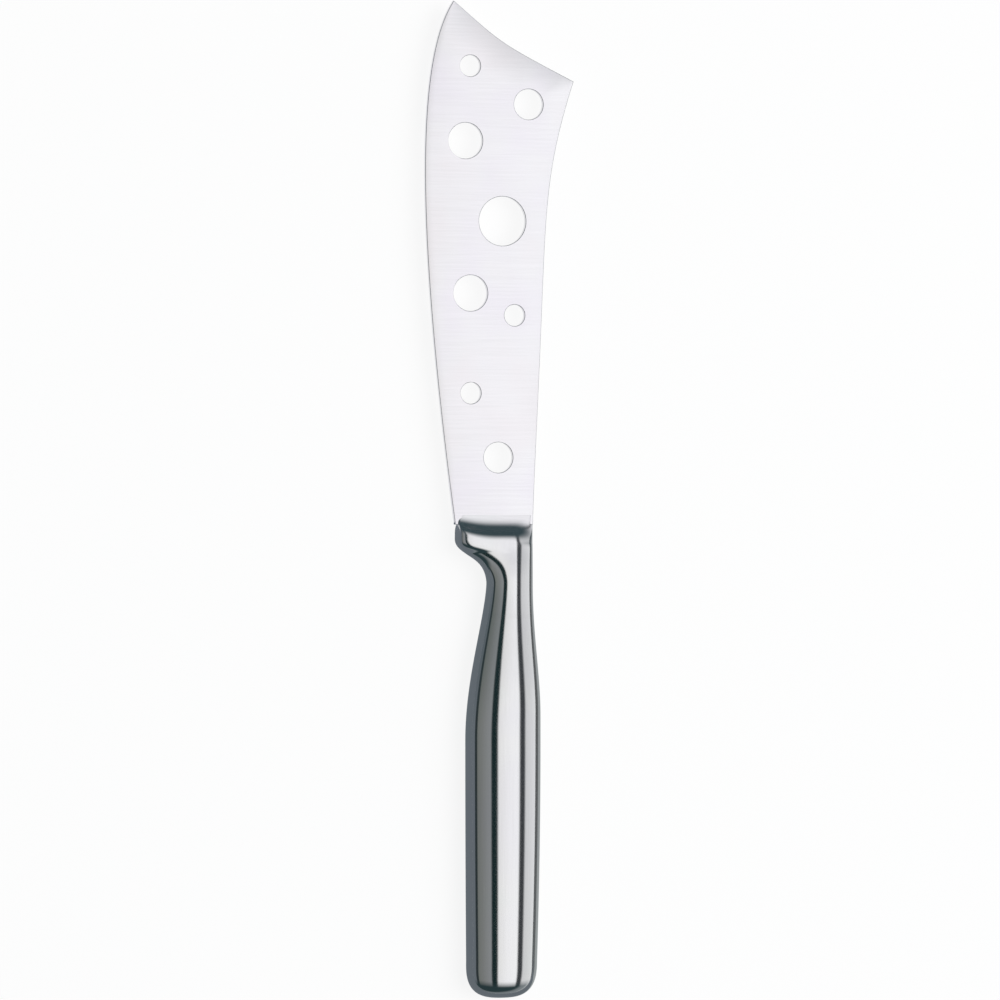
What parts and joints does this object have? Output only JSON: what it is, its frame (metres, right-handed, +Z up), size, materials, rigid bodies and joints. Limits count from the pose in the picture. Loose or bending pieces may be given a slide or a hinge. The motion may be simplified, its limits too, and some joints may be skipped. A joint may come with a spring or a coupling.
{
  "type": "cheese knife",
  "caption": "Flat cheese knife with a pierced blade, a slanting hollowed end, a bolster with a finger guard and a hollow oval steel handle.",
  "frame": {"origin": "middle of the knife's length and reach, on the surface that the handle lies on", "axes": "+Y from the butt of the handle towards the blade's first point, +X from the cutting edge towards the spine, +Z up and square to the flat of the blade"},
  "size_m": [0.0376, 0.24, 0.011],
  "materials": {
    "blade_steel": "fine polish with faint cross grinding lines",
    "handle_steel": "satin brushed along the handle",
    "weld_steel": "weld bead ground flush and brushed over",
    "cement": "hard resin filler, matt"
  },
  "bodies": {
    "root": {"blade": "blade_steel", "blade_weld": "weld_steel", "bolster": "handle_steel", "neck_weld": "weld_steel", "handle_shell_top": "handle_steel", "handle_shell_bottom": "handle_steel", "seam_weld": "weld_steel", "tang_cement": "cement"}
  },
  "joints": []
}
